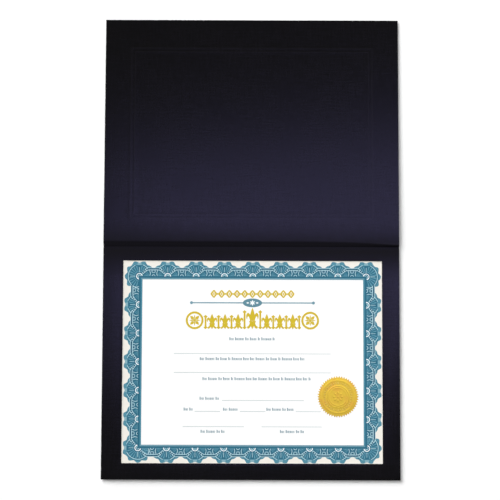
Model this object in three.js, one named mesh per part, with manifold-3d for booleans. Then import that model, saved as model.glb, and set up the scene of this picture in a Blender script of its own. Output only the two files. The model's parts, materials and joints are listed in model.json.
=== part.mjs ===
// Document cover: a top-fold cover of heavy embossed stock, lying open, with a certificate
// behind the window mat of its back panel. Millimetres, +Z up, +X to the right and +Y towards
// the free edge of the front panel. The origin lies on the table, under the crease.
import * as THREE from "three";
import { mergeVertices } from "three/addons/utils/BufferGeometryUtils.js";
import Module from "manifold-3d";

const solids = await Module();
solids.setup();

const degrees = THREE.MathUtils.degToRad;

// Certificate: a letter-size sheet, lying across. The mat and the cover are sized round it.
const sheetWidth = 279.4;
const sheetLength = 215.9;
const sheetThickness = 0.2;

// Window mat: how far it laps over the sheet, and its rails from the window to its edges
const lapAtSides = 1;
const lapAtEnds = 0.3;
const railLeft = 21.45;
const railRight = 18.65;
const railAtCrease = 15.05;
const railAtFreeEdge = 17.3;
const matThickness = 0.3;
const matSetback = 2;

// Pocket behind the mat, closed by strips on three sides and open on the right. The strips
// are as thick as the sheet with its seal, and a little play.
const pocketPlay = 0.04;
const stripInset = 1;
const pocketClearance = 0.6;

// Cover stock, and the double-scored hinge: a narrow band between two parallel scores
const stockThickness = 0.5;
const bandWidth = 5.9;
const bandLift = degrees(20);
const scoreGap = 0.05;
const scoreBevel = degrees(15);

// Foil seal, placed from the lower right corner of the certificate
const sealRadius = 22;
const sealFromRight = 48.3;
const sealFromBottom = 71.25;
const sealFoilThickness = 0.06;
const sealReliefHeight = 0.12;
const sealTeeth = 50;
const sealToothDepth = 1.9;
const sealFluteInner = 18.1;
const sealFluteOuter = 19.7;
const sealFluteWidth = 0.9;
const sealRingRadii = [17.2, 9.5];
const sealRingWidth = 1.1;
const sealBeadCircle = 14.2;
const sealBeadLength = 2.6;
const sealBeadWidth = 1.2;
const sealBeads = 36;
const rosettePetals = 8;
const rosetteRadius = 7.6;
const rosettePetalWidth = 2.6;

// Stamped border on the outside of the front panel
const borderSideInset = 28.2;
const borderEndInset = 31;
const borderSpacing = 4;
const outerRuleWidth = 1.6;
const innerRuleWidth = 0.8;
const stampDepth = 0.1;
const foilThickness = 0.05;
const foilGap = 0.02;
const ridgeHeight = 0.06;
const ridgeSlope = 0.5;

// Worked out from the sizes above
const windowWidth = sheetWidth - 2 * lapAtSides;
const windowLength = sheetLength - 2 * lapAtEnds;
const coverWidth = railLeft + windowWidth + railRight;
const panelLength = railAtCrease + windowLength + railAtFreeEdge;
const halfWidth = coverWidth / 2;
const windowLeft = -halfWidth + railLeft;
const windowTop = -railAtCrease;
const sheetLeft = windowLeft - lapAtSides;
const sheetRight = sheetLeft + sheetWidth;
const sheetTop = windowTop + lapAtEnds;
const sheetBottom = sheetTop - sheetLength;
const pocketFloor = stockThickness;
const stripThickness = sheetThickness + sealFoilThickness + sealReliefHeight + pocketPlay;
const matUnderside = pocketFloor + stripThickness;
const bandRun = bandWidth * Math.cos(bandLift);
const bandEdgeHeight = stockThickness + bandWidth * Math.sin(bandLift);
const frontReach = panelLength - bandRun;
const frontTilt = Math.atan2(bandEdgeHeight - stockThickness, frontReach);
const frontLength = frontReach / Math.cos(frontTilt);

// Materials
const coverStock = { color: 0x1e1d29, roughness: 0.48, metalness: 0 };
const adhesive = { color: 0x1c1b1f, roughness: 0.85, metalness: 0 };
const certificatePaper = { color: 0xf3ece2, roughness: 0.8, metalness: 0 };
const goldFoil = { color: 0xe0bb4e, roughness: 0.3, metalness: 0.9 };

const cover = new THREE.Group();

function addPiece(parent, name, geometry, finish) {
  const piece = new THREE.Mesh(geometry, new THREE.MeshStandardMaterial(finish));
  piece.name = name;
  parent.add(piece);
  return piece;
}

// A strip of stock across the whole cover, from its section in (y, z)
function acrossCover(section) {
  const shape = new THREE.Shape(section.map(([y, z]) => new THREE.Vector2(y, z)));
  const geometry = new THREE.ExtrudeGeometry(shape, { depth: coverWidth, bevelEnabled: false });
  const turn = new THREE.Matrix4().makeBasis(
    new THREE.Vector3(0, 1, 0),
    new THREE.Vector3(0, 0, 1),
    new THREE.Vector3(1, 0, 0),
  );
  return geometry.applyMatrix4(turn).translate(-halfWidth, 0, 0);
}

function rectangle(path, left, bottom, right, top) {
  path.moveTo(left, bottom);
  path.lineTo(right, bottom);
  path.lineTo(right, top);
  path.lineTo(left, top);
  path.closePath();
  return path;
}

function slab(left, bottom, right, top, floor, thickness) {
  const shape = rectangle(new THREE.Shape(), left, bottom, right, top);
  return new THREE.ExtrudeGeometry(shape, { depth: thickness, bevelEnabled: false })
    .translate(0, 0, floor);
}

function toSolid(geometry) {
  const bare = geometry.clone();
  bare.deleteAttribute("normal");
  bare.deleteAttribute("uv");
  const merged = mergeVertices(bare);
  return new solids.Manifold(new solids.Mesh({
    numProp: 3,
    vertProperties: merged.attributes.position.array,
    triVerts: Uint32Array.from(merged.index.array),
  }));
}

function toGeometry(solid) {
  const mesh = solid.getMesh();
  const geometry = new THREE.BufferGeometry();
  geometry.setAttribute("position", new THREE.BufferAttribute(mesh.vertProperties, 3));
  geometry.setIndex(new THREE.BufferAttribute(mesh.triVerts, 1));
  const flat = geometry.toNonIndexed();
  flat.computeVertexNormals();
  return flat;
}

// Back panel. The stock is pressed away under each score, which bevels the edges that meet there.
function backPanel() {
  const bevelRun = stockThickness * Math.tan(scoreBevel);
  return acrossCover([
    [-panelLength, 0],
    [-scoreGap - bevelRun, 0],
    [-scoreGap, stockThickness],
    [-panelLength, stockThickness],
  ]);
}

// Hinge band in its own frame: y runs from the crease to the upper score, z = 0 is the inside
function hingeBand() {
  const bevelRun = stockThickness * Math.tan(scoreBevel);
  return acrossCover([
    [scoreGap + bevelRun, -stockThickness],
    [bandWidth - scoreGap - bevelRun, -stockThickness],
    [bandWidth - scoreGap, 0],
    [scoreGap, 0],
  ]);
}

// One rule of the stamped border, as a flat frame in the front panel's frame
function ruleShape(inset, ruleWidth) {
  const side = halfWidth - borderSideInset - inset;
  const near = borderEndInset - bandWidth + inset;
  const far = frontLength - borderEndInset - inset;
  const half = ruleWidth / 2;
  const shape = rectangle(new THREE.Shape(), -side - half, near - half, side + half, far + half);
  shape.holes.push(
    rectangle(new THREE.Path(), -side + half, near + half, side - half, far - half),
  );
  return shape;
}

const rules = [
  { name: "foil_border_outer", inset: 0, width: outerRuleWidth },
  { name: "foil_border_inner", inset: borderSpacing, width: innerRuleWidth },
];

// Front panel in its own frame: y runs from the upper score, z = 0 is the inside.
// Each rule is a shallow stamped groove outside and a faint sloped ridge inside.
function frontPanel() {
  const bevelRun = stockThickness * Math.tan(scoreBevel);
  let panel = toSolid(acrossCover([
    [scoreGap + bevelRun, -stockThickness],
    [frontLength, -stockThickness],
    [frontLength, 0],
    [scoreGap, 0],
  ]));
  for (const rule of rules) {
    const groove = new THREE.ExtrudeGeometry(ruleShape(rule.inset, rule.width), {
      depth: 2 * stampDepth,
      bevelEnabled: false,
    }).translate(0, 0, -stockThickness - stampDepth);
    const ridge = new THREE.ExtrudeGeometry(ruleShape(rule.inset, rule.width), {
      depth: stampDepth,
      bevelThickness: ridgeHeight,
      bevelSize: ridgeSlope,
      bevelSegments: 1,
    }).translate(0, 0, -stampDepth);
    panel = panel.subtract(toSolid(groove)).add(toSolid(ridge));
  }
  return toGeometry(panel);
}

function foilRule(rule) {
  const clear = rule.width - 2 * foilGap;
  return new THREE.ExtrudeGeometry(ruleShape(rule.inset, clear), {
    depth: foilThickness,
    bevelEnabled: false,
  }).translate(0, 0, -stockThickness + stampDepth - foilGap - foilThickness);
}

function windowMat() {
  const shape = rectangle(new THREE.Shape(), -halfWidth, -panelLength, halfWidth, -matSetback);
  shape.holes.push(rectangle(
    new THREE.Path(),
    windowLeft,
    windowTop - windowLength,
    windowLeft + windowWidth,
    windowTop,
  ));
  return new THREE.ExtrudeGeometry(shape, { depth: matThickness, bevelEnabled: false })
    .translate(0, 0, matUnderside);
}

// Three strips leave a pocket that is open on the right
function addStrips(parent) {
  const left = -halfWidth + stripInset;
  const right = halfWidth - stripInset;
  const top = -matSetback - stripInset;
  const bottom = -panelLength + stripInset;
  const innerTop = sheetTop + pocketClearance;
  const innerBottom = sheetBottom - pocketClearance;
  const innerLeft = sheetLeft - pocketClearance;
  const strips = {
    adhesive_strip_top: [left, innerTop, right, top],
    adhesive_strip_left: [left, innerBottom, innerLeft, innerTop],
    adhesive_strip_bottom: [left, bottom, right, innerBottom],
  };
  for (const [name, edges] of Object.entries(strips)) {
    addPiece(parent, name, slab(...edges, pocketFloor, stripThickness), adhesive);
  }
}

function certificateSheet() {
  return slab(sheetLeft, sheetBottom, sheetRight, sheetTop, pocketFloor, sheetThickness);
}

// Serrated outline of the seal: one point at each tooth's tip and one at each valley
function serratedDisc() {
  const points = [];
  for (let step = 0; step < 2 * sealTeeth; step += 1) {
    const radius = step % 2 ? sealRadius - sealToothDepth : sealRadius;
    const angle = (Math.PI * step) / sealTeeth;
    points.push(new THREE.Vector2(radius * Math.cos(angle), radius * Math.sin(angle)));
  }
  return new THREE.ExtrudeGeometry(new THREE.Shape(points), {
    depth: sealFoilThickness,
    bevelEnabled: false,
  });
}

// A raised ring with sloped sides, sunk a little into the foil that carries it
function raisedRing(radius) {
  const half = sealRingWidth / 2;
  const root = sealFoilThickness / 2;
  const crest = sealFoilThickness + sealReliefHeight;
  return new THREE.LatheGeometry([
    new THREE.Vector2(radius - half, root),
    new THREE.Vector2(radius + half, root),
    new THREE.Vector2(radius + half / 2, crest),
    new THREE.Vector2(radius - half / 2, crest),
    new THREE.Vector2(radius - half, root),
  ], 72).rotateX(Math.PI / 2);
}

// A low lens: a flat-bottomed oval that narrows to its crest
function raisedOval(length, width, sides) {
  const root = sealFoilThickness / 2;
  const height = sealFoilThickness + sealReliefHeight - root;
  return new THREE.CylinderGeometry(0.3, 0.5, height, sides)
    .rotateX(Math.PI / 2)
    .scale(length, width, 1)
    .translate(0, 0, root + height / 2);
}

function ringOf(count, radius, makeCopy) {
  const copies = [];
  for (let step = 0; step < count; step += 1) {
    const angle = (2 * Math.PI * step) / count;
    copies.push(makeCopy().translate(radius, 0, 0).rotateZ(angle));
  }
  return copies;
}

// Generic embossed seal: flutes on the rim, two rings with beads between, and a rosette
function goldSeal() {
  const fluteLength = sealFluteOuter - sealFluteInner;
  const fluteCentre = (sealFluteOuter + sealFluteInner) / 2;
  const petalLength = rosetteRadius - sealRingWidth;
  const petalCentre = rosetteRadius - petalLength / 2;
  const relief = [
    ...sealRingRadii.map(raisedRing),
    ...ringOf(sealTeeth, fluteCentre, () => raisedOval(fluteLength, sealFluteWidth, 4)),
    ...ringOf(sealBeads, sealBeadCircle, () => raisedOval(sealBeadLength, sealBeadWidth, 8)),
    ...ringOf(rosettePetals, petalCentre, () => raisedOval(petalLength, rosettePetalWidth, 12)),
    raisedOval(2 * sealRingWidth, 2 * sealRingWidth, 16),
  ];
  let seal = toSolid(serratedDisc());
  for (const form of relief) seal = seal.add(toSolid(form));
  return toGeometry(seal);
}

addPiece(cover, "back_cover_panel", backPanel(), coverStock);
addPiece(cover, "window_mat", windowMat(), coverStock);
addStrips(cover);
addPiece(cover, "certificate_sheet", certificateSheet(), certificatePaper);

const seal = addPiece(cover, "gold_seal", goldSeal(), goldFoil);
seal.position.set(
  sheetRight - sealFromRight,
  sheetBottom + sealFromBottom,
  pocketFloor + sheetThickness,
);

// The band turns about the crease, and the front panel about the band's far edge
const band = new THREE.Group();
band.position.set(0, 0, stockThickness);
band.rotation.x = bandLift;
cover.add(band);
addPiece(band, "hinge_band", hingeBand(), coverStock);

const front = new THREE.Group();
front.position.set(0, bandWidth, 0);
front.rotation.x = -bandLift - frontTilt;
band.add(front);
addPiece(front, "front_cover_panel", frontPanel(), coverStock);
for (const rule of rules) addPiece(front, rule.name, foilRule(rule), goldFoil);

export default cover;
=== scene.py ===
"""The looks of an open document cover: linen-embossed stock folded on two scores, a window mat,
and a printed certificate with an embossed foil seal. Metres, except the print, which is drawn in
millimetres from the middle of the certificate."""

from collections import defaultdict
import itertools
import json
import math

import bmesh
import bpy
from mathutils import Matrix, Vector


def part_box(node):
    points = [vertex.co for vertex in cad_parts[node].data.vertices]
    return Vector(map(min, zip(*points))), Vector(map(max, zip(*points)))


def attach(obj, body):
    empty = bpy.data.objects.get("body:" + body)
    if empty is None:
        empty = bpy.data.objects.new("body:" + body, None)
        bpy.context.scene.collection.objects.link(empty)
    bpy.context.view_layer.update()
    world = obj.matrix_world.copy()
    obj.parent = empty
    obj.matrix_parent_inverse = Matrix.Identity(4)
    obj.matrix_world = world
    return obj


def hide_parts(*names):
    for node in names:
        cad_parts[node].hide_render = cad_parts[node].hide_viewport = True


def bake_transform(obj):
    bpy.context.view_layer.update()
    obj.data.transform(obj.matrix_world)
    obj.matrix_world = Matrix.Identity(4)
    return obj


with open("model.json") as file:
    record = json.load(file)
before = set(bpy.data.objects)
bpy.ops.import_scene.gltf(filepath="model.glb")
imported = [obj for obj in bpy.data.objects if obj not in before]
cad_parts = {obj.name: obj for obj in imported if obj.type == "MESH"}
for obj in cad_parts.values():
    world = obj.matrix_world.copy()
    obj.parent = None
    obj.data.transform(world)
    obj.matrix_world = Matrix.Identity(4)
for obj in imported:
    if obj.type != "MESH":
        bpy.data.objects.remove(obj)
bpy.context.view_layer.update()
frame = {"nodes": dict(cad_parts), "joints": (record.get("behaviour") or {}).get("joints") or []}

MM = 0.001
JOINTS = {joint["name"]: joint for joint in frame["joints"]}


# Camera: almost straight above the open cover, a little nearer its lower edge
CAMERA_ELEVATION = math.radians(85.74)
CAMERA_ROLL = math.radians(0.178)
CAMERA_DISTANCE = 1.3
CAMERA_AIM = Vector((-0.00141, -0.00334, 0))
CAMERA_LENS = 87.09


def set_camera():
    camera = bpy.data.objects.new("camera", bpy.data.cameras.new("camera"))
    camera.data.lens = CAMERA_LENS
    camera.data.sensor_width = 36
    tilt = Matrix.Rotation(math.pi / 2 - CAMERA_ELEVATION, 4, "X")
    turn = tilt @ Matrix.Rotation(CAMERA_ROLL, 4, "Z")
    place = CAMERA_AIM + tilt @ Vector((0, 0, CAMERA_DISTANCE))
    camera.matrix_world = Matrix.Translation(place) @ turn
    bpy.context.scene.collection.objects.link(camera)
    bpy.context.scene.camera = camera


# Studio: a low soft key from the upper left, and a panel overhead for the sheen
KEY_ELEVATION = math.radians(15)
KEY_FROM_TOP = math.radians(40)
KEY_SPREAD = math.radians(56)
KEY_STRENGTH = 8.4
SHEEN_PLACE = Vector((0.28, 0.118, 1.3))
SHEEN_SIZE = (1.2, 0.466)
SHEEN_TURN = math.radians(5)
SHEEN_POWER = 6.1
ROOM_LIGHT = 0.16


def light_studio():
    scene = bpy.context.scene
    scene.view_settings.view_transform = "Standard"
    scene.world = bpy.data.worlds.new("room")
    scene.world.use_nodes = True
    room = scene.world.node_tree.nodes["Background"]
    room.inputs["Color"].default_value = (1, 1, 1, 1)
    room.inputs["Strength"].default_value = ROOM_LIGHT

    key = bpy.data.objects.new("key", bpy.data.lights.new("key", "SUN"))
    key.data.energy = KEY_STRENGTH
    key.data.angle = KEY_SPREAD
    towards_key = Vector((
        -math.cos(KEY_ELEVATION) * math.sin(KEY_FROM_TOP),
        math.cos(KEY_ELEVATION) * math.cos(KEY_FROM_TOP),
        math.sin(KEY_ELEVATION),
    ))
    key.rotation_euler = towards_key.to_track_quat("Z", "Y").to_euler()
    key.visible_glossy = False    # so low a light would glare on the stock from the side
    scene.collection.objects.link(key)

    sheen = bpy.data.objects.new("sheen", bpy.data.lights.new("sheen", "AREA"))
    sheen.data.shape = "RECTANGLE"
    sheen.data.size, sheen.data.size_y = SHEEN_SIZE
    sheen.data.energy = SHEEN_POWER
    sheen.location = SHEEN_PLACE
    sheen.rotation_euler.z = SHEEN_TURN
    scene.collection.objects.link(sheen)


# Shader maths: a wire is a node's output, and arithmetic on it adds Math nodes
class Wire:
    def __init__(self, finish, socket):
        self.finish = finish
        self.socket = socket

    def _math(self, operation, first, second=0.5):
        return self.finish.node(
            "ShaderNodeMath", {"operation": operation}, {0: first, 1: second}
        )

    def __add__(self, other):
        return self._math("ADD", self, other)

    def __radd__(self, other):
        return self._math("ADD", other, self)

    def __sub__(self, other):
        return self._math("SUBTRACT", self, other)

    def __rsub__(self, other):
        return self._math("SUBTRACT", other, self)

    def __mul__(self, other):
        return self._math("MULTIPLY", self, other)

    def __rmul__(self, other):
        return self._math("MULTIPLY", other, self)

    def __truediv__(self, other):
        return self._math("DIVIDE", self, other)

    def __lt__(self, other):
        return self._math("LESS_THAN", self, other)

    def size(self):
        return self._math("ABSOLUTE", self)

    def floor(self, least):
        """This value, but never below least."""
        return self._math("MAXIMUM", self, least)


class Finish:
    """One material: a Principled shader, and the nodes that feed it."""

    def __init__(self, name, **plain):
        self.material = bpy.data.materials.new(name)
        self.material.use_nodes = True
        self.tree = self.material.node_tree
        self.shader = self.tree.nodes["Principled BSDF"]
        for socket, value in plain.items():
            self.feed(socket.replace("_", " "), value)

    def put(self, socket, value):
        if isinstance(value, Wire):
            self.tree.links.new(value.socket, socket)
        elif socket.type == "RGBA" and len(value) == 3:
            socket.default_value = (*value, 1)
        else:
            socket.default_value = value

    def node(self, kind, settings, inputs, output=0):
        made = self.tree.nodes.new(kind)
        for setting, value in settings.items():
            setattr(made, setting, value)
        for socket, value in inputs.items():
            self.put(made.inputs[socket], value)
        return Wire(self, made.outputs[output])

    def feed(self, socket, value):
        self.put(self.shader.inputs[socket], value)

    def place(self):
        return self.node("ShaderNodeTexCoord", {}, {}, "Object")

    def parts(self, vector):
        split = self.node("ShaderNodeSeparateXYZ", {}, {0: vector})
        return [Wire(self, socket) for socket in split.socket.node.outputs]

    def noise(self, across, along, detail, rough=0.5):
        """Noise whose grains are about across by along metres in x and y."""
        spread = self.node(
            "ShaderNodeMapping", {},
            {"Vector": self.place(), "Scale": (1 / across, 1 / along, 1 / max(across, along))},
        )
        return self.node(
            "ShaderNodeTexNoise", {},
            {"Vector": spread, "Scale": 1.0, "Detail": detail, "Roughness": rough},
        )

    def mix(self, share, first, second):
        made = self.node("ShaderNodeMix", {"data_type": "RGBA"}, {0: share, 6: first, 7: second})
        return Wire(self, made.socket.node.outputs[2])

    def bump(self, height, depth, strength):
        return self.node(
            "ShaderNodeBump", {}, {"Strength": strength, "Distance": depth, "Height": height}
        )


# How much brighter than its own colour a matt surface shows in this light, and the brightest
# colour that any of them has
LIGHT_LIFT = 1.12
BRIGHTEST = 0.95


def shown(red, green, blue):
    """The base colour of a matt surface that shows as this 0 to 255 colour."""
    def linear(value):
        value /= 255
        return value / 12.92 if value <= 0.04045 else ((value + 0.055) / 1.055) ** 2.4
    return tuple(min(linear(value) / LIGHT_LIFT, BRIGHTEST) for value in (red, green, blue))


# Cover stock: near-black navy with a fine linen emboss and a soft blue sheen. Its base colour also
# carries painted light: lighter on the hinge band and near the crease, and a painted highlight
# along the border's rules
THREAD = 1.8 * MM
THREAD_RUN = 15 * MM
THREAD_CONTRAST = 2.2
THREAD_DYE = 0.45
THREAD_ROUGHNESS = 0.1
THREAD_DEPTH = 0.12 * MM
THREAD_RELIEF = 0.2
CLOUDS = (60 * MM, 45 * MM)
CLOUD_DYE = 0.55
STOCK_ROUGHNESS = 0.19
STOCK_DARK = (0.0028, 0.0027, 0.0017)
STOCK_LIGHT = (0.0048, 0.0046, 0.003)
# The lighter colour painted into the stock as light, on the hinge band, near the crease and along
# the border's rules
STOCK_PAINTED_LIGHT = (0.0085, 0.008, 0.0085)
STOCK_SHEEN = (0.47, 0.43, 1.0)
# Painted light: the hinge band and a strip along the crease get a lighter base colour; the crease
# strip is also made rougher
BAND_LIGHT_SPREAD = 1.2
CREASE_WEAR = 0.42
CREASE_PAINTED_LIGHT = 0.5
CREASE_WEAR_AND_LIGHT_PLACE = -5 * MM
CREASE_WEAR_AND_LIGHT_REACH = 38 * MM
# A painted highlight along the rules of the stamped border, and how far past their edges it
# reaches
RULE_PAINTED_HIGHLIGHT = 0.36
RULE_HIGHLIGHT_REACH = 0.6 * MM


def fading(distance, reach):
    """1 where the distance is 0, down to 0 at the reach and past it."""
    return (1 - distance.size() / reach).floor(0)


def rule_highlight_lines(x, y):
    """1 along each rule of the stamped border, down to 0 just past its edges: the mask of a
    painted highlight on the rules.
    """
    lines = []
    for rule in RULES:
        (middle_x, middle_y), (reach_x, reach_y) = middle_line(rule)
        out_x = (x - middle_x).size() - reach_x
        out_y = (y - middle_y).size() - reach_y
        lines.append(fading(out_x.floor(out_y), rule["width"] / 2 + RULE_HIGHLIGHT_REACH))
    return lines[0].floor(lines[1])


def linen_stock():
    finish = Finish("linen_stock", Specular_IOR_Level=0.195, Specular_Tint=STOCK_SHEEN)
    upright = finish.noise(THREAD, THREAD_RUN, 2.0, 0.6)
    level = finish.noise(THREAD_RUN, THREAD, 2.0, 0.6)
    weave = ((upright + level) * 0.5 - 0.5) * THREAD_CONTRAST + 0.5
    clouds = finish.noise(*CLOUDS, 1.0)
    x, y, _ = finish.parts(finish.place())
    band = fading(y - BAND_MIDDLE, BAND_LIGHT_SPREAD * BAND_MIDDLE)
    dyed = finish.mix(weave * THREAD_DYE + clouds * CLOUD_DYE, STOCK_DARK, STOCK_LIGHT)
    crease_wear_and_light = fading(y - CREASE_WEAR_AND_LIGHT_PLACE, CREASE_WEAR_AND_LIGHT_REACH)
    # pale is painted light: a lighter base colour on the hinge band and near the crease, and a
    # painted highlight along the rules
    pale = band.floor(rule_highlight_lines(x, y) * RULE_PAINTED_HIGHLIGHT).floor(crease_wear_and_light * crease_wear_and_light * CREASE_PAINTED_LIGHT)
    finish.feed("Base Color", finish.mix(pale, dyed, STOCK_PAINTED_LIGHT))
    rough = STOCK_ROUGHNESS + weave * THREAD_ROUGHNESS + crease_wear_and_light * crease_wear_and_light * CREASE_WEAR
    finish.feed("Roughness", rough)
    finish.feed("Normal", finish.bump(weave, THREAD_DEPTH, THREAD_RELIEF))
    return finish.material


# Papers, inks and foils
CREAM = shown(243, 239, 230)
CREAM_FIBRE = tuple(value * 0.96 for value in CREAM)
WHITE_FIELD = shown(254, 254, 254)
WHITE_FIBRE = tuple(value * 0.985 for value in WHITE_FIELD)
PAPER_FIBRES = (0.5 * MM, 0.8 * MM)


def certificate_paper(field_centre, field_size):
    """Cream stock with a white field inside the printed border."""
    finish = Finish("certificate_paper", Specular_IOR_Level=0.3)
    x, y, _ = finish.parts(finish.place())
    inside_x = (x - field_centre.x).size() < field_size.x / 2
    inside_y = (y - field_centre.y).size() < field_size.y / 2
    fibres = finish.noise(*PAPER_FIBRES, 4.0)
    white = finish.mix(fibres, WHITE_FIELD, WHITE_FIBRE)
    cream = finish.mix(fibres, CREAM, CREAM_FIBRE)
    finish.feed("Base Color", finish.mix(inside_x * inside_y, cream, white))
    finish.feed("Roughness", 0.62 + fibres * 0.12)
    finish.feed("Normal", finish.bump(fibres, 0.02 * MM, 0.3))
    return finish.material


INK_MOTTLE = 0.6 * MM
INK_ROUGHNESS = 0.55


def ink(name, colour):
    """Offset ink: its colour, a little uneven over the paper's fibres."""
    finish = Finish(name, Specular_IOR_Level=0.02)
    mottle = finish.noise(INK_MOTTLE, INK_MOTTLE, 3.0)
    thin = tuple(min(value * 1.05 + 0.004, 1) for value in colour)
    thick = tuple(value * 0.95 for value in colour)
    finish.feed("Base Color", finish.mix(mottle, thick, thin))
    finish.feed("Roughness", INK_ROUGHNESS + mottle * 0.08)
    return finish.material


FOIL_PATCH = 14 * MM
FOIL_FLECK = 3 * MM
FOIL_WRINKLE = 0.8 * MM
FOIL_WRINKLE_DEPTH = 0.03 * MM
FOIL_GOLD = (0.68, 0.445, 0.053)
FOIL_AMBER = (0.68, 0.333, 0.057)
FOIL_LEMON = (0.735, 0.533, 0.053)
# A pale gold that paints a highlight on the seal's ticks
FOIL_PAINTED_HIGHLIGHT = (0.94, 0.77, 0.26)


def gold_foil(name, roughness, fleck_colour=FOIL_LEMON):
    """Pressed metal foil: gold, with amber patches, paler patches of the fleck colour (lemon by
    default, a painted highlight on the seal's ticks) and fine wrinkles.
    """
    finish = Finish(name, Metallic=0.85)
    patches = finish.noise(FOIL_PATCH, FOIL_PATCH, 1.0) * 4 - 1.2
    flecks = finish.noise(FOIL_FLECK, FOIL_FLECK, 3.0)
    warm = finish.mix(patches, FOIL_AMBER, FOIL_GOLD)
    finish.feed("Base Color", finish.mix(flecks * 1.6 - 0.5, warm, fleck_colour))
    finish.feed("Roughness", roughness + flecks * 0.14)
    wrinkles = finish.noise(FOIL_WRINKLE, FOIL_WRINKLE, 3.0)
    finish.feed("Normal", finish.bump(wrinkles, FOIL_WRINKLE_DEPTH, 0.5))
    return finish.material


FOAM_CELL = 0.25 * MM
FOAM_DARK = (0.008, 0.008, 0.009)
FOAM_LIGHT = (0.02, 0.02, 0.022)


def strip_foam():
    """The black double-sided strips under the mat, seen only at its open edge."""
    finish = Finish("strip_foam", Specular_IOR_Level=0.2)
    cells = finish.noise(FOAM_CELL, FOAM_CELL, 3.0)
    finish.feed("Base Color", finish.mix(cells, FOAM_DARK, FOAM_LIGHT))
    finish.feed("Roughness", 0.85 + cells * 0.1)
    finish.feed("Normal", finish.bump(cells, 0.05 * MM, 0.6))
    return finish.material


FLOOR_CLOUD = 0.7
FLOOR_DARK = (0.93, 0.93, 0.93)
FLOOR_LIGHT = (0.94, 0.94, 0.94)


def studio_floor():
    finish = Finish("studio_floor", Roughness=0.9, Specular_IOR_Level=0.1)
    cloud = finish.noise(FLOOR_CLOUD, FLOOR_CLOUD, 1.0)
    finish.feed("Base Color", finish.mix(cloud, FLOOR_DARK, FLOOR_LIGHT))
    return finish.material


# Meshes: every piece is drawn in place, and its object stays at the origin
SHARP_ANGLE = math.radians(14)


def make_piece(name, mesh, finish, smooth=True):
    """Turns a finished bmesh into an object with one material."""
    bmesh.ops.recalc_face_normals(mesh, faces=mesh.faces)
    data = bpy.data.meshes.new(name)
    mesh.to_mesh(data)
    mesh.free()
    if smooth:
        data.shade_smooth()
        data.set_sharp_from_angle(angle=SHARP_ANGLE)
    data.materials.append(finish)
    piece = bpy.data.objects.new(name, data)
    bpy.context.scene.collection.objects.link(piece)
    return piece


def lined_grid(xs, ys):
    """A flat grid whose lines stand at xs and ys."""
    mesh = bmesh.new()
    bmesh.ops.create_grid(mesh, x_segments=len(xs) - 1, y_segments=len(ys) - 1, size=0.5)
    for corner in mesh.verts:
        corner.co.x = xs[round((corner.co.x + 0.5) * (len(xs) - 1))]
        corner.co.y = ys[round((corner.co.y + 0.5) * (len(ys) - 1))]
    return mesh


def give_thickness(mesh, top, bottom):
    """Closes a sheet: its faces go to the height top(x, y), a copy to bottom(x, y)."""
    raised = bmesh.ops.extrude_face_region(mesh, geom=mesh.faces[:])["geom"]
    upper = {corner for corner in raised if isinstance(corner, bmesh.types.BMVert)}
    for corner in mesh.verts:
        height = top if corner in upper else bottom
        corner.co.z = height(corner.co.x, corner.co.y)


def spaced(start, stop, step):
    count = max(1, round(abs(stop - start) / step))
    return [start + (stop - start) * index / count for index in range(count + 1)]


def merged_lines(*groups, apart=0.02 * MM):
    lines = []
    for value in sorted(value for group in groups for value in group):
        if not lines or value - lines[-1] > apart:
            lines.append(value)
    return lines


def eased(value, low, high):
    """0 below low, 1 above high, and a smooth step between."""
    share = min(max((value - low) / (high - low), 0), 1)
    return share * share * (3 - 2 * share)


# The folded stock. Heights are of the inside face; the outside face is a stock thickness below.
CREASE = Vector(JOINTS["crease_fold"]["pos_m"])
UPPER_SCORE = Vector(JOINTS["band_fold"]["pos_m"])
BACK_LOW, BACK_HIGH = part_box("back_cover_panel")
_, FRONT_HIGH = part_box("front_cover_panel")
STOCK = BACK_HIGH.z - BACK_LOW.z
BAND_RISE = UPPER_SCORE.z - CREASE.z
BAND_MIDDLE = UPPER_SCORE.y / 2
SCORE_ROUNDING = 0.55 * MM
FLAT_END = 0.7
FLAT_END_CURVE = 3.6

# The stamped border, pressed into the outside and faintly proud of the inside
RULES = [
    {"node": "foil_border_outer", "width": 1.6 * MM, "box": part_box("foil_border_outer")},
    {"node": "foil_border_inner", "width": 0.8 * MM, "box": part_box("foil_border_inner")},
]
STAMP_DEPTH = 0.1 * MM
STAMP_WALL = 0.01 * MM
RIDGE_HEIGHT = 0.03 * MM
RIDGE_SLOPE = 0.9 * MM


def fold_height(x, y):
    """The inside face: flat to the crease, up the band, then down to the free edge.
    Towards the right end the band rises ever more steeply and then runs on flat."""
    if y <= 0:
        return CREASE.z
    flattened = FLAT_END * max(x / BACK_HIGH.x, 0) ** FLAT_END_CURVE
    band = CREASE.z + BAND_RISE * y / (UPPER_SCORE.y * (1 - flattened))
    panel = CREASE.z + BAND_RISE * (FRONT_HIGH.y - y) / (FRONT_HIGH.y - UPPER_SCORE.y)
    gap = max(SCORE_ROUNDING - abs(band - panel), 0) / SCORE_ROUNDING
    return min(band, panel) - gap * gap * SCORE_ROUNDING / 4


def middle_line(rule):
    """The middle of a rule's middle line, and how far the line lies from it, in x and y."""
    low, high = rule["box"]
    half = rule["width"] / 2
    middle = ((low.x + high.x) / 2, (low.y + high.y) / 2)
    return middle, ((high.x - low.x) / 2 - half, (high.y - low.y) / 2 - half)


def stamp_distance(rule, x, y):
    """How far a point is from the middle line of a rule of the border."""
    (middle_x, middle_y), (reach_x, reach_y) = middle_line(rule)
    return abs(max(abs(x - middle_x) - reach_x, abs(y - middle_y) - reach_y))


def front_inside(x, y):
    ridge = max(
        1 - max(stamp_distance(rule, x, y) - rule["width"] / 2, 0) / RIDGE_SLOPE for rule in RULES
    )
    return fold_height(x, y) + RIDGE_HEIGHT * max(ridge, 0)


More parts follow.
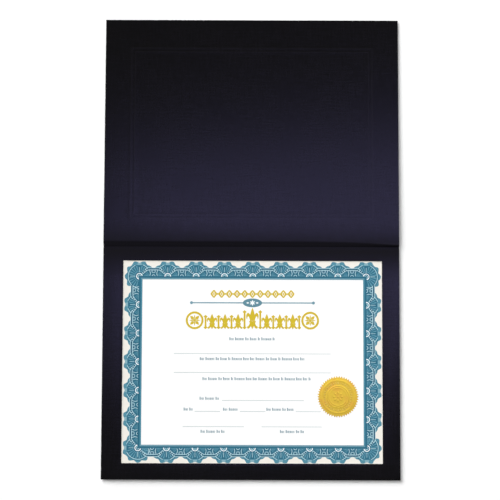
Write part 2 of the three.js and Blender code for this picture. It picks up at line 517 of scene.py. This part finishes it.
def front_outside(x, y):
    pressed = any(stamp_distance(rule, x, y) < rule["width"] / 2 - 1e-6 for rule in RULES)
    return fold_height(x, y) - STOCK + (STAMP_DEPTH if pressed else 0)


def border_lines(axis):
    """Grid lines at the edges and slopes of every rule, along x (0) or y (1)."""
    lines = []
    for rule in RULES:
        low, high = rule["box"]
        for edge, inward in ((low[axis], 1), (high[axis], -1)):
            offsets = (
                -RIDGE_SLOPE, -STAMP_WALL, STAMP_WALL,
                rule["width"] - STAMP_WALL, rule["width"] + STAMP_WALL,
                rule["width"] + RIDGE_SLOPE,
            )
            lines += [edge + inward * offset for offset in offsets]
    return lines


# How far apart the stock's grid lines are. They close up on the way to a score.
COLUMNS_APART = 8 * MM
BACK_ROWS_APART = 12 * MM
FRONT_ROWS_APART = 5 * MM
ROWS_NEAR_SCORE = 0.5 * MM
ROWS_AT_CREASE = 0.1 * MM
ROWS_AT_UPPER_SCORE = 0.2 * MM
NEAR_SCORE = 4 * MM
AT_CREASE = 1 * MM
LEAST_APART = 0.005 * MM


def make_cover(stock):
    xs = spaced(BACK_LOW.x, BACK_HIGH.x, COLUMNS_APART)
    back_ys = merged_lines(
        spaced(BACK_LOW.y, -NEAR_SCORE, BACK_ROWS_APART),
        spaced(-NEAR_SCORE, -AT_CREASE, ROWS_NEAR_SCORE),
        spaced(-AT_CREASE, BAND_MIDDLE, ROWS_AT_CREASE),
    )
    mesh = lined_grid(xs, back_ys)
    give_thickness(mesh, fold_height, lambda x, y: fold_height(x, y) - STOCK)
    back = make_piece("back_cover_stock", mesh, stock)
    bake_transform(back)
    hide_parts("back_cover_panel")

    front_ys = merged_lines(
        spaced(BAND_MIDDLE, UPPER_SCORE.y + NEAR_SCORE, ROWS_AT_UPPER_SCORE),
        spaced(UPPER_SCORE.y + NEAR_SCORE, FRONT_HIGH.y, FRONT_ROWS_APART),
        border_lines(1),
        apart=LEAST_APART,
    )
    mesh = lined_grid(merged_lines(xs, border_lines(0), apart=LEAST_APART), front_ys)
    give_thickness(mesh, front_inside, front_outside)
    front = make_piece("front_cover_stock", mesh, stock)
    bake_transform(front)
    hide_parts("front_cover_panel", "hinge_band")


FOIL_THICKNESS = 0.04 * MM
FOIL_GAP = 0.005 * MM


def make_stamped_rule(rule, foil):
    """One foil rule, lying in its groove on the outside of the front cover."""
    low, high = rule["box"]
    inset = rule["width"]
    columns = spaced(low.x + inset, high.x - inset, COLUMNS_APART)
    rows = spaced(low.y + inset, high.y - inset, FRONT_ROWS_APART)
    xs = merged_lines([low.x, low.x + inset], columns, [high.x])
    ys = merged_lines([low.y, low.y + inset], rows, [high.y])
    mesh = lined_grid(xs, ys)
    inner = [
        face for face in mesh.faces
        if stamp_distance(rule, *face.calc_center_median().xy) > rule["width"] / 2
    ]
    bmesh.ops.delete(mesh, geom=inner, context="FACES")

    def groove(x, y):
        return fold_height(x, y) - STOCK + STAMP_DEPTH

    give_thickness(
        mesh, lambda x, y: groove(x, y) - FOIL_GAP, lambda x, y: groove(x, y) - FOIL_THICKNESS
    )
    piece = make_piece(rule["node"].replace("foil_border", "stamped_foil"), mesh, foil)
    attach(piece, "front_cover")
    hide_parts(rule["node"])


MAT_EDGE = 0.06 * MM
MAT_SAG = 0.2 * MM
MAT_SAG_REACH = 13 * MM
MAT_SAG_END = 20 * MM
RIM_ANGLE = math.radians(45)


def make_mat(stock):
    """The die-cut window frame. Its edges are softened, and its inner edge sinks to the sheet,
    except at the right, where the sheet slides out."""
    low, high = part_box("window_mat")
    window_low, window_high = window_corners()
    reach = [MAT_SAG_REACH * share for share in (1, 0.75, 0.5, 0.25)]
    xs = [low.x, *(window_low.x - run for run in reach), window_low.x]
    xs += [window_high.x - MAT_SAG_END, window_high.x, high.x]
    ys = [low.y, *(window_low.y - run for run in reach), window_low.y]
    ys += [window_high.y, *(window_high.y + run for run in reversed(reach)), high.y]
    mesh = lined_grid(xs, ys)
    opening = [
        face for face in mesh.faces
        if window_low.x < face.calc_center_median().x < window_high.x
        and window_low.y < face.calc_center_median().y < window_high.y
    ]
    bmesh.ops.delete(mesh, geom=opening, context="FACES")

    def sag(x, y):
        away = max(window_low.x - x, window_low.y - y, y - window_high.y, 0)
        share = max(1 - away / MAT_SAG_REACH, 0)
        ended = eased(x, window_high.x - MAT_SAG_END, window_high.x)
        return MAT_SAG * share * share * (1 - ended)

    give_thickness(mesh, lambda x, y: high.z - sag(x, y), lambda x, y: low.z - sag(x, y))
    rims = [edge for edge in mesh.edges if edge.calc_face_angle(0) > RIM_ANGLE]
    bmesh.ops.bevel(
        mesh, geom=rims, offset=MAT_EDGE, affect="EDGES", segments=3, profile=0.5, material=-1
    )
    piece = make_piece("window_mat_board", mesh, stock)
    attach(piece, "back_cover")
    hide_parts("window_mat")


def window_corners():
    """The window's corners, read from the mat's own vertices, which all lie on its edges."""
    low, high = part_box("window_mat")
    inner = [
        corner.co for corner in frame["nodes"]["window_mat"].data.vertices
        if low.x + MM < corner.co.x < high.x - MM
    ]
    xs, ys = [place.x for place in inner], [place.y for place in inner]
    return Vector((min(xs), min(ys), low.z)), Vector((max(xs), max(ys), high.z))


# The print. A plate holds a flat mesh for each ink, in millimetres, y towards the crease.
# Each shape lies on one of a few levels, so that overlapping shapes never share a face.
LEVELS = 28
LEVEL_STEP = 0.0005


class Plate:
    drawn = itertools.count()

    def __init__(self):
        self.inks = defaultdict(bmesh.new)

    def level(self):
        return next(Plate.drawn) % LEVELS * LEVEL_STEP

    def stroke(self, colour, path, width):
        """A pen stroke along path. width is a number, or a function of the share drawn."""
        mesh = self.inks[colour]
        points = [Vector(point) for point in path]
        level = self.level()
        last = len(points) - 1
        edge = None
        for index, point in enumerate(points):
            ahead = points[min(index + 1, last)] - points[max(index - 1, 0)]
            side = Vector((-ahead.y, ahead.x)).normalized()
            half = (width(index / last) if callable(width) else width) / 2
            if edge is None:
                ends = [mesh.verts.new((*point, level)) for _ in range(2)]
                edge = mesh.edges.new(ends)
            else:
                grown = bmesh.ops.extrude_edge_only(mesh, edges=[edge])["geom"]
                edge = next(part for part in grown if isinstance(part, bmesh.types.BMEdge)
                            and all(corner in grown for corner in part.verts))
            for corner, sign in zip(edge.verts, (1, -1)):
                corner.co = (*(point + side * half * sign), level)

    def blot(self, colour, outline):
        """A filled shape with this outline."""
        mesh = self.inks[colour]
        level = self.level()
        mesh.faces.new([mesh.verts.new((*point, level)) for point in outline])

    def disc(self, colour, centre, radius, height=None, segments=24):
        """A filled circle, or an oval with its own half height."""
        place = Matrix.Translation((*centre, self.level()))
        place = place @ Matrix.Diagonal((radius, height or radius, 1, 1))
        bmesh.ops.create_circle(
            self.inks[colour], cap_ends=True, segments=segments, radius=1, matrix=place
        )

    def stamp(self, motif, *places):
        """Adds another plate's inks at each place."""
        carrier = bpy.data.meshes.new("carrier")
        for colour, drawn in motif.inks.items():
            for place in places:
                copy = drawn.copy()
                bmesh.ops.transform(copy, matrix=place, verts=copy.verts)
                copy.to_mesh(carrier)
                copy.free()
                self.inks[colour].from_mesh(carrier)
        bpy.data.meshes.remove(carrier)


def at(x, y, turn=0, mirror=False):
    flip = Matrix.Diagonal((-1, 1, 1, 1)) if mirror else Matrix.Identity(4)
    return Matrix.Translation((x, y, 0)) @ Matrix.Rotation(turn, 4, "Z") @ flip


def polar(radius, degrees):
    angle = math.radians(degrees)
    return radius * math.cos(angle), radius * math.sin(angle)


ARC_STEP = 7


def arc(radius, start, stop):
    """Points on an arc round the origin, in degrees."""
    count = max(2, round(abs(stop - start) / ARC_STEP))
    return [polar(radius, start + (stop - start) * index / count) for index in range(count + 1)]


def curve_through(points, steps=5):
    """A smooth curve through a few points."""
    places = [Vector(point) for point in points]
    smooth = []
    for index in range(len(places) - 1):
        before = places[max(index - 1, 0)]
        first, second = places[index], places[index + 1]
        after = places[min(index + 2, len(places) - 1)]
        for step in range(steps):
            t = step / steps
            smooth.append(0.5 * (
                2 * first
                + (second - before) * t
                + (2 * before - 5 * first + 4 * second - after) * t ** 2
                + (3 * first - before - 3 * second + after) * t ** 3
            ))
    return [tuple(point) for point in smooth] + [tuple(places[-1])]


# The border: fans on a grid of this pitch, joined by low arches, round a straight band.
# A motif's origin is the middle of its fan's ring, and y runs outwards.
PITCH = 30.4
FANS_ACROSS = 8
FANS_UP = 6
BORDER_HALF_WIDTH = PITCH * FANS_ACROSS / 2
BORDER_HALF_HEIGHT = PITCH * FANS_UP / 2
BORDER_SHIFT = (0.3, -0.4)
BAND_TOP = 0.3
BAND_EDGE = -1.75
BAND_DEPTH = 3.4
CREST = [
    (0, 14.6), (1.6, 15.0), (3.2, 15.7), (4.9, 15.8), (6.4, 15.4), (7.3, 13.8), (8.4, 12.1),
    (9.6, 11.6), (11.2, 11.2), (12.6, 10.2), (13.6, 9.4), (PITCH / 2, 9.2),
]
CORNER_CREST = [
    (-7.2, 13.4), (-8.6, 11.6), (-10.2, 10.5), (-12.2, 10.2), (-13.3, 8.9), (-13.3, 6.6),
    (-13.0, 4.2), (-14.4, 2.5), (-15.6, 0.8), (-15.5, -1.2), (-14.6, -2.9), (-13.2, -4.1),
    (-13.3, -6.6), (-13.4, -8.6), (-12.4, -10.1), (-10.4, -10.6), (-9.3, -10.5),
]
FAN_ARC = [(8.6, 9.1), (6.5, 10.6), (4.6, 11.8), (3.8, 12.05), (0, 12.1)]
FAN_SHADES = [(8.6, 10.3), (6.9, 11.7)]
CORNER_ARC = [
    (-4.4, 11.8), (-8.1, 9.1), (-10.9, 5.0), (-12.0, 0), (-11.2, -4.8), (-8.2, -9.5),
    (-4.6, -12.2), (-0.8, -13.2),
]
FAN_PATCH = [(-1.8, 14.8), (0, 14.6), (1.8, 14.8), (2.2, 12.4), (-2.2, 12.4)]
FAN_FOOT = (2.9, 3.4)
FAN_AXIS = (4.4, 9.7)
FAN_FLECK = 0.75
RAY_START = 4.8
RAY_END = 11.3
RING = 3.0
RING_WIDTH = 0.8
CORE_RING = 1.35
FINE_PEN = 0.45
PEN = 0.55
BOLD_PEN = 0.6


def fan_rays(plate, *angles):
    """Rays that widen from the ring to the fan's light arc."""
    for angle in angles:
        ray = [polar(RAY_START, angle), polar(RAY_END, angle)]
        plate.stroke("ray", ray, lambda share: 0.4 + 1.1 * share)


def fan_top(plate, *signs):
    """The fan's top: dark flecks outside the light arc, and a paler patch over its middle."""
    for sign in signs:
        for x, y in FAN_SHADES:
            plate.disc("dark", (sign * x, y), FAN_FLECK, segments=8)
    plate.blot("mist", FAN_PATCH)
    plate.stroke("mid", [(-3.6, 12.1), (3.6, 12.1)], PEN)
    plate.stroke("pale", [(0, FAN_AXIS[0]), (0, FAN_AXIS[1])], FINE_PEN)


def fan_ring(plate, start, stop):
    """The white ring, heavier at its feet, with a pale core ring."""
    plate.stroke("white", arc(RING, start, stop),
                 lambda share: RING_WIDTH + 0.4 * abs(2 * share - 1) ** 3)
    plate.stroke("pale", arc(CORE_RING, start + 5, stop - 5), PEN)


def side_fan():
    plate = Plate()
    right = curve_through(CREST)
    left = [(-x, y) for x, y in reversed(right)]
    plate.blot("soft", left[:-1] + right + [(PITCH / 2, 0), (-PITCH / 2, 0)])
    light_arc = curve_through([(-x, y) for x, y in FAN_ARC] + FAN_ARC[-2::-1], 3)
    feet = [FAN_FOOT, (-FAN_FOOT[0], FAN_FOOT[1])]
    plate.blot("dark", light_arc + feet)
    for sign in (-1, 1):
        shoulder = [(sign * x, y) for x, y in curve_through(FAN_ARC[:4], 3)]
        plate.stroke("pale", shoulder, BOLD_PEN)
    fan_top(plate, -1, 1)
    fan_rays(plate, 61, 75, 105, 119)
    fan_ring(plate, -4, 184)
    return plate


def corner_fan():
    """The fan at the upper left corner: its light arc runs on round the left side."""
    plate = Plate()
    top = curve_through([(-x, y) for x, y in reversed(CREST[1:5])] + CREST)
    side = curve_through(CORNER_CREST)
    valley = [(-CREST[-1][1], -PITCH / 2), (0, -PITCH / 2), (0, 0), (PITCH / 2, 0)]
    plate.blot("soft", side[::-1] + top + valley[::-1])
    light_arc = curve_through(FAN_ARC + CORNER_ARC, 3)
    plate.blot("dark", light_arc + [(0, -13.2), (0, 0), FAN_FOOT])
    plate.stroke("pale", curve_through(FAN_ARC[:4], 3), BOLD_PEN)
    plate.stroke("pale", curve_through(CORNER_ARC, 3), BOLD_PEN)
    fan_top(plate, 1)
    fan_rays(plate, 61, 75, *range(106, 171, 16), *range(190, 255, 16))
    plate.stroke("pale", [(-FAN_AXIS[0], 0), (-FAN_AXIS[1], 0)], FINE_PEN)
    plate.stroke("ray", arc(5.2, 60, 265), BOLD_PEN)
    plate.stroke("dark", arc(13.0, 110, 236), 0.7)
    fan_ring(plate, 10, 258)
    return plate


# Half an arch, from its middle out to the ring of the next fan: a flat top, then a chain
ARCH_TOP = [(0, 9.0), (3.7, 9.05), (5.9, 8.95), (7.9, 8.2), (9.9, 6.2), (12.2, 3.8)]
ARCH_UNDER = [(0, 6.9), (3.9, 6.9), (6.4, 6.3), (9.0, 4.6), (11.2, 2.7)]
ARCH_FLAT = 6.1
ARCH_FIELD = [(0, 8.5), (5.9, 8.5), (6.6, 6.3), (9.2, 4.5), (11.4, 2.4), (11.9, 0), (0, 0)]
CHAIN = [(6.3, 7.6), (7.9, 6.7), (9.4, 5.4), (11.9, 3.2)]
CHAIN_WIDTH = 1.7
CHAIN_LINKS = [(7.2, 7.15), (9.2, 5.85), (10.9, 4.4)]
LINK_RADIUS = 0.95
ARCH_RAYS = (22, 36, 50)
ARCH_RAY_FOOT = (3, -0.6)
ARCH_OVAL = [(0, 4.5), (0.8, 4.65), (1.25, 5.35), (0.9, 6.05), (0, 6.2)]
ARCH_SETTING = [(0, 3.3), (1.6, 3.7), (2.3, 4.8), (2.6, 6.7), (0, 6.7)]
ARCH_PILLAR = [(4.3, 6.7), (3.9, 5), (3.4, 3.3), (3.7, 1.7), (4.1, 0.5)]


def half_arch(chained=True):
    """Half an arch. Without its chain it runs in under the corner's fan."""
    plate = Plate()
    plate.blot("dark", ARCH_FIELD)
    reach = PITCH / 2 if chained else ARCH_FLAT
    for line in (ARCH_TOP, ARCH_UNDER):
        points = [point for point in curve_through(line, 3) if point[0] <= reach]
        plate.stroke("pale", points, PEN)
    if chained:
        plate.stroke("pale", CHAIN, CHAIN_WIDTH)
        for link in CHAIN_LINKS:
            plate.disc("deep", link, LINK_RADIUS, segments=8)
        foot_x, foot_y = ARCH_RAY_FOOT
        for angle in ARCH_RAYS:
            ray = [(x + foot_x, y + foot_y) for x, y in (polar(3.0, angle), polar(6.6, angle))]
            plate.stroke("ray", ray, 0.5)
        plate.stroke("mid", [(4.8, 0.68), (10.8, 0.68)], 0.4)
    plate.stroke("deep", [(0, 8.0), (6.0, 8.0)], 1.5)
    plate.blot("mist", ARCH_SETTING)
    plate.blot("deep", ARCH_OVAL)
    plate.disc("deep", (3.3, 5.4), 0.45, segments=8)
    plate.stroke("pale", curve_through(ARCH_PILLAR, 3), BOLD_PEN)
    plate.stroke("pale", arc(1.6, 90, 8), BOLD_PEN)
    return plate


def border():
    plate = Plate()
    fan, corner = side_fan(), corner_fan()
    chained, plain = half_arch(), half_arch(chained=False)
    half_width, half_height = BORDER_HALF_WIDTH, BORDER_HALF_HEIGHT
    plate.stamp(corner, at(half_width, half_height, mirror=True))
    sides = (
        (0, half_width, half_height, FANS_ACROSS), (90, half_height, half_width, FANS_UP),
        (180, half_width, half_height, FANS_ACROSS), (270, half_height, half_width, FANS_UP),
    )
    for degrees, half_run, out, count in sides:
        turned = at(0, 0, math.radians(degrees))
        if degrees != 270:
            plate.stamp(corner, turned @ at(-half_run, out))
        plate.stamp(fan, *(turned @ at(PITCH * i - half_run, out) for i in range(1, count)))
        for index in range(count):
            middle = PITCH * (index + 0.5) - half_run
            under_right = degrees == 90 and index == count - 1
            under_left = degrees == 270 and index == 0
            plate.stamp(plain if under_right else chained, turned @ at(middle, out))
            plate.stamp(plain if under_left else chained, turned @ at(middle, out, mirror=True))
        rim = "rim" if degrees in (0, 180) else "soft"
        for colour, near, far in (("dark", BAND_EDGE, BAND_TOP), (rim, -BAND_DEPTH, BAND_EDGE)):
            corners = ((-half_run - near, out + near), (half_run + near, out + near),
                       (half_run + far, out + far), (-half_run - far, out + far))
            plate.blot(colour, [tuple((turned @ Vector((x, y, 0))).xy) for x, y in corners])
    return plate


# The heading: ornament bands in the places of its lines, and a ruled medallion between them
TEXT_SHIFT = (0, 0.13)
TITLE_TOP = 71.9
TITLE_TOP_WIDTH = 91
TITLE_TOP_HEIGHT = 7.9
RULE_LEVEL = 62.4
RULE_HALF = 65.3
MEDALLION = (10.3, 4.7)
TITLE_MAIN = 45.8
TITLE_MAIN_HEIGHT = 23.4
LOZENGES = 11


def lozenge_row():
    """A row of openwork lozenges with beads between them."""
    plate = Plate()
    step = TITLE_TOP_WIDTH / LOZENGES
    tall = TITLE_TOP_HEIGHT / 2
    wide = 2.5
    for index in range(LOZENGES):
        x = (index - (LOZENGES - 1) / 2) * step
        for side in (-1, 1):
            outline = curve_through([(x, tall), (x + side * wide * 0.62, tall * 0.42),
                                     (x + side * wide, 0), (x + side * wide * 0.62, -tall * 0.42),
                                     (x, -tall)], 3)
            plate.stroke("gold", outline, lambda share: 1.1 + 0.9 * math.sin(math.pi * share))
        plate.disc("gold", (x, 0), 0.7, 1.5, segments=10)
        if index:
            plate.disc("gold", (x - step / 2, 0), 0.8, 1.1, segments=10)
    return plate


def leaf(plate, colour, base, degrees, length, width):
    """A pointed leaf from its base."""
    tip = Vector(polar(length, degrees))
    side = Vector((-tip.y, tip.x)).normalized() * width / 2
    foot = Vector(base)
    shape = [(0, 0), (0.28, 0.85), (0.5, 1), (0.75, 0.62), (1, 0)]
    right = curve_through([foot + tip * along + side * out for along, out in shape], 4)
    left = curve_through([foot + tip * along - side * out for along, out in shape], 4)
    plate.blot(colour, right + left[-2:0:-1])


LILY_PETAL = [
    (0.05, 0.37), (0.09, 0.52), (0.19, 0.68), (0.33, 0.76), (0.46, 0.7), (0.5, 0.56), (0.43, 0.45),
    (0.4, 0.54), (0.35, 0.6), (0.28, 0.56), (0.22, 0.47), (0.19, 0.37),
]
LILY_FOOT = [
    (0.04, 0.32), (0.08, 0.2), (0.2, 0.08), (0.36, 0.03), (0.44, 0.12), (0.36, 0.14), (0.27, 0.2),
    (0.2, 0.32),
]


def lily(width, height):
    """A heraldic lily: a tall middle leaf, two hooked petals, a clasp and a three-part foot."""
    plate = Plate()
    leaf(plate, "gold", (0, 0.35 * height), 90, 0.65 * height, 0.34 * width)
    leaf(plate, "gold", (0, 0.35 * height), 270, 0.35 * height, 0.24 * width)
    for side in (-1, 1):
        for outline in (LILY_PETAL, LILY_FOOT):
            points = curve_through([(side * x * width, y * height) for x, y in outline], 3)
            plate.blot("gold", points)
    plate.stroke("gold", [(-0.27 * width, 0.345 * height), (0.27 * width, 0.345 * height)], 1.3)
    return plate


def roundel(radius):
    """A ring round a four-leaved flower."""
    plate = Plate()
    plate.stroke("gold", arc(radius, 0, 360), 2.2)
    for degrees in range(45, 405, 90):
        leaf(plate, "gold", polar(1.1, degrees), degrees, radius - 2.8, 0.38 * radius)
        leaf(plate, "gold", polar(0.6, degrees + 45), degrees + 45, radius - 2.9, 0.16 * radius)
    plate.disc("gold", (0, 0), 1.4)
    return plate


def baluster(height):
    """An upright post with a lozenge at each end."""
    plate = Plate()
    plate.stroke("gold", [(0, 2), (0, height - 2)], 2.0)
    for middle in (1.9, height - 1.9):
        plate.blot("gold", [(-2.3, middle), (0, middle - 1.9), (2.3, middle), (0, middle + 1.9)])
    return plate


LILY_TALL = (13.4, 23.4)
LILY_SMALL = (11.4, 16.6)
LILY_STEP = 13.9
POST_TALL = 20.5
POST_SMALL = 15.4
POST_PLACE = 8.4
ROUNDEL_RADIUS = 8.4
ROUNDEL_PLACE = 61.8


def lily_frieze():
    """Lilies with posts between them, tallest in the middle, and a roundel at each end."""
    plate = Plate()
    foot = TITLE_MAIN - TITLE_MAIN_HEIGHT / 2
    plate.stamp(lily(*LILY_TALL), at(0, foot))
    for side in (-1, 1):
        for index in range(4):
            place = side * (POST_PLACE + LILY_STEP * index)
            plate.stamp(baluster(POST_SMALL if index else POST_TALL), at(place, foot))
            if index < 3:
                plate.stamp(lily(*LILY_SMALL), at(place + side * LILY_STEP / 2, foot))
        plate.stamp(roundel(ROUNDEL_RADIUS), at(side * ROUNDEL_PLACE, foot + ROUNDEL_RADIUS + 1.1))
    return plate


def heading():
    plate = Plate()
    plate.stamp(lozenge_row(), at(0, TITLE_TOP))
    plate.stroke("slate", [(-RULE_HALF, RULE_LEVEL), (RULE_HALF, RULE_LEVEL)], 1.25)
    for side in (-1, 1):
        plate.disc("slate", (side * RULE_HALF, RULE_LEVEL), 1.6)
    plate.disc("medallion", (0, RULE_LEVEL), *MEDALLION, segments=48)
    for side in (-1, 1):
        leaf(plate, "white", (side * 6.6, RULE_LEVEL), 90 + side * 90, 3.2, 1.7)
    for degrees in range(30, 390, 60):
        leaf(plate, "white", (0, RULE_LEVEL), degrees, 3.1, 1.4)
    plate.stamp(lily_frieze(), at(0, 0))
    return plate


# Lines to fill in, and rows of ticks where a certificate has its small print
FILL_LINE_WIDTH = 0.55
FILL_LINES = [
    (8.1, -83.6, 83.6), (-12.0, -83.6, 83.6), (-41.5, -32.0, 55.0),
    (-53.1, -61.2, -34.2), (-53.1, -12.9, 14.1), (-53.1, 46.4, 73.0),
    (-69.2, -73.8, -8.8), (-69.2, 10.0, 74.0),
]
SMALL_PRINT = [
    (23.6, -24, 24), (2.4, -55.5, 55.5), (-18.8, -52.5, 63.0), (-39.6, -55.5, -33.8),
    (-51.1, -72.4, -62.9), (-51.1, -30.4, -14.6), (-51.1, 15.7, 44.4),
    (-74.5, -54.2, -29.8), (-74.5, 30.1, 55.0),
]
PRINT_HEIGHT = 2.3
PRINT_CAPITAL = 3.1
PRINT_TICKS = [0.95, 0.6, 0.8, 0.55]
PRINT_STEP = 1.2
WORD_TICKS = [4, 8, 3, 6, 2, 9, 5]
WORD_GAP = 1.3


def small_print(plate, level, start, stop):
    """Upright ticks in groups, which say nothing, in place of a line of small capitals."""
    x = start
    for count in itertools.cycle(WORD_TICKS):
        for tick in range(count):
            if x > stop:
                return
            height = PRINT_HEIGHT if tick else PRINT_CAPITAL
            width = PRINT_TICKS[tick % len(PRINT_TICKS)]
            plate.stroke("caption", [(x, level), (x, level + height)], width)
            x += PRINT_STEP
        x += WORD_GAP


def blanks():
    plate = Plate()
    for level, start, stop in FILL_LINES:
        plate.stroke("hairline", [(start, level), (stop, level)], FILL_LINE_WIDTH)
    for level, start, stop in SMALL_PRINT:
        small_print(plate, level - PRINT_HEIGHT / 2, start, stop)
    return plate


# Inks in the order they are printed, with the colours they show
INK_LAYERS = {
    "soft": (0, (84, 142, 161)),
    "dark": (1, (48, 107, 131)),
    "rim": (2, (114, 156, 170)),
    "mist": (2, (140, 177, 189)),
    "mid": (2, (108, 160, 177)),
    "ray": (2, (96, 150, 169)),
    "pale": (3, (188, 222, 230)),
    "deep": (4, (34, 90, 116)),
    "gold": (0, (209, 184, 50)),
    "slate": (0, (112, 154, 168)),
    "medallion": (1, (98, 141, 156)),
    "white": (5, (244, 251, 253)),
    "hairline": (0, (180, 190, 193)),
    "caption": (0, (116, 146, 158)),
}
INK_STEP = 0.018 * MM
INK_FILM = 0.003 * MM


def print_certificate():
    low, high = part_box("certificate_sheet")
    middle = (low + high) / 2
    plate = Plate()
    plate.stamp(border(), at(*BORDER_SHIFT))
    plate.stamp(heading(), at(*TEXT_SHIFT))
    plate.stamp(blanks(), at(*TEXT_SHIFT))
    for colour, mesh in plate.inks.items():
        layer, display = INK_LAYERS[colour]
        bmesh.ops.remove_doubles(mesh, verts=mesh.verts, dist=LEVEL_STEP / 2)
        floor = Vector((middle.x, middle.y, high.z + INK_STEP * (layer + 0.1)))
        bmesh.ops.transform(
            mesh, matrix=Matrix.Translation(floor) @ Matrix.Scale(MM, 4), verts=mesh.verts
        )
        raised = bmesh.ops.extrude_face_region(mesh, geom=mesh.faces[:])["geom"]
        upper = {corner for corner in raised if isinstance(corner, bmesh.types.BMVert)}
        for corner in mesh.verts:
            corner.co.z = corner.co.z + INK_FILM if corner in upper else floor.z
        name = f"{colour}_ink"
        piece = make_piece(name, mesh, ink(name, shown(*display)), smooth=False)
        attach(piece, "certificate")
    inset = BAND_DEPTH / 2
    field = 2 * MM * Vector((BORDER_HALF_WIDTH - inset, BORDER_HALF_HEIGHT - inset))
    field_middle = middle.xy + Vector(BORDER_SHIFT) * MM
    sheet = frame["nodes"]["certificate_sheet"]
    sheet.data.materials.clear()
    sheet.data.materials.append(certificate_paper(field_middle, field))


# The seal, in millimetres from its middle: a serrated and fluted rim, three raised rings, ticks
# between the outer two in a paler foil that paints their highlight, and a rosette
SEAL_SLIP = 0.4 * MM
SEAL_TEETH = 50
TOOTH_DEPTH = 2.1
TOOTH_ROOT = 19.6
SEAL_PROFILE = [
    (0.0, 0.12), (4.0, 0.11), (8.4, 0.07), (9.0, 0.08), (9.5, 0.14), (10.0, 0.08), (10.6, 0.07),
    (11.0, 0.08), (11.4, 0.14), (11.8, 0.08), (12.4, 0.07), (16.2, 0.07), (16.8, 0.09),
    (17.3, 0.13), (17.8, 0.09), (18.4, 0.07), (19.0, 0.07), (19.6, 0.07), (22.1, 0.07),
]
FLUTES = (18.2, 19.3)
FLUTE_HEIGHT = 0.02
SEAL_UNDERSIDE = 0.01
STEPS_PER_TOOTH = 6
RELIEF_FOOT = 0.08
TICK_CIRCLE = 14.5
SEAL_TICKS = 36
TICK_SIZE = (1.35, 0.66, 0.14)
PETALS = 8
PETAL_REACH = 4.1
PETAL_SIZE = (1.7, 0.95, 0.1)
ROSETTE_BEAD = (1.1, 1.1, 0.1)


def raised_oval(mesh, degrees, reach, form):
    """A low oval on the foil, at a distance from its middle."""
    turn = Matrix.Rotation(math.radians(degrees), 4, "Z")
    place = turn @ Matrix.Translation((reach, 0, RELIEF_FOOT)) @ form
    bmesh.ops.create_uvsphere(mesh, u_segments=12, v_segments=6, radius=1, matrix=place)


def turned_foil():
    """The foil disc, turned from its profile, with its rings and a plain rim."""
    mesh = bmesh.new()
    corners = [mesh.verts.new((radius, 0, height)) for radius, height in SEAL_PROFILE]
    rim = mesh.verts.new((SEAL_PROFILE[-1][0], 0, SEAL_UNDERSIDE))
    corners += [rim, mesh.verts.new((0, 0, SEAL_UNDERSIDE))]
    edges = [mesh.edges.new(pair) for pair in zip(corners, corners[1:])]
    bmesh.ops.spin(
        mesh, geom=corners + edges, cent=(0, 0, 0), axis=(0, 0, 1), angle=2 * math.pi,
        steps=SEAL_TEETH * STEPS_PER_TOOTH, use_merge=True,
    )
    bmesh.ops.remove_doubles(mesh, verts=mesh.verts, dist=0.002)
    return mesh


def cut_teeth(mesh):
    """Draws the rim in between the teeth, and raises a flute behind each."""
    for corner in mesh.verts:
        radius = corner.co.xy.length
        turn = math.atan2(corner.co.y, corner.co.x) / (2 * math.pi) * SEAL_TEETH
        valley = 1 - abs((turn % 1) * 2 - 1)
        if radius > TOOTH_ROOT + 0.5:
            corner.co.xy *= (radius - TOOTH_DEPTH * valley) / radius
        if FLUTES[0] < radius < FLUTES[1] and corner.co.z > 0.05:
            corner.co.z += FLUTE_HEIGHT * math.cos(turn * 2 * math.pi)


def make_seal(foil, painted_highlight):
    low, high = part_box("gold_seal")
    middle = (low + high) / 2
    centre = Vector((middle.x, middle.y - SEAL_SLIP, low.z))
    mesh = turned_foil()
    cut_teeth(mesh)
    for index in range(PETALS):
        raised_oval(mesh, 360 * index / PETALS, PETAL_REACH, Matrix.Diagonal((*PETAL_SIZE, 1)))
    raised_oval(mesh, 0, 0, Matrix.Diagonal((*ROSETTE_BEAD, 1)))
    ticks = bmesh.new()
    for index in range(SEAL_TICKS):
        length = TICK_SIZE[0] * (0.8 if index % 3 else 1.1)
        form = Matrix.Diagonal((length, *TICK_SIZE[1:], 1))
        raised_oval(ticks, 360 * index / SEAL_TICKS, TICK_CIRCLE, form)
    place = Matrix.Translation(centre) @ Matrix.Scale(MM, 4)
    for name, part, finish in (("embossed_seal", mesh, foil), ("seal_tick_ring", ticks, painted_highlight)):
        bmesh.ops.transform(part, matrix=place, verts=part.verts)
        piece = make_piece(name, part, finish)
        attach(piece, "certificate")
        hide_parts("gold_seal")


FLOOR_HALF = 4
FLOOR_DROP = 1.1 * MM


def make_floor():
    mesh = lined_grid([-FLOOR_HALF, FLOOR_HALF], [-FLOOR_HALF, FLOOR_HALF])
    bmesh.ops.translate(mesh, vec=(0, 0, -FLOOR_DROP), verts=mesh.verts)
    floor = make_piece("floor", mesh, studio_floor(), smooth=False)


set_camera()
light_studio()
linen = linen_stock()
make_cover(linen)
make_mat(linen)
rule_foil = gold_foil("rule_foil", 0.24)
for border_rule in RULES:
    make_stamped_rule(border_rule, rule_foil)
print_certificate()
make_seal(gold_foil("seal_foil", 0.3), gold_foil("frosted_foil", 0.4, FOIL_PAINTED_HIGHLIGHT))
foam = strip_foam()
for strip in ("adhesive_strip_left", "adhesive_strip_top", "adhesive_strip_bottom"):
    node = frame["nodes"][strip]
    node.data.materials.clear()
    node.data.materials.append(foam)
make_floor()
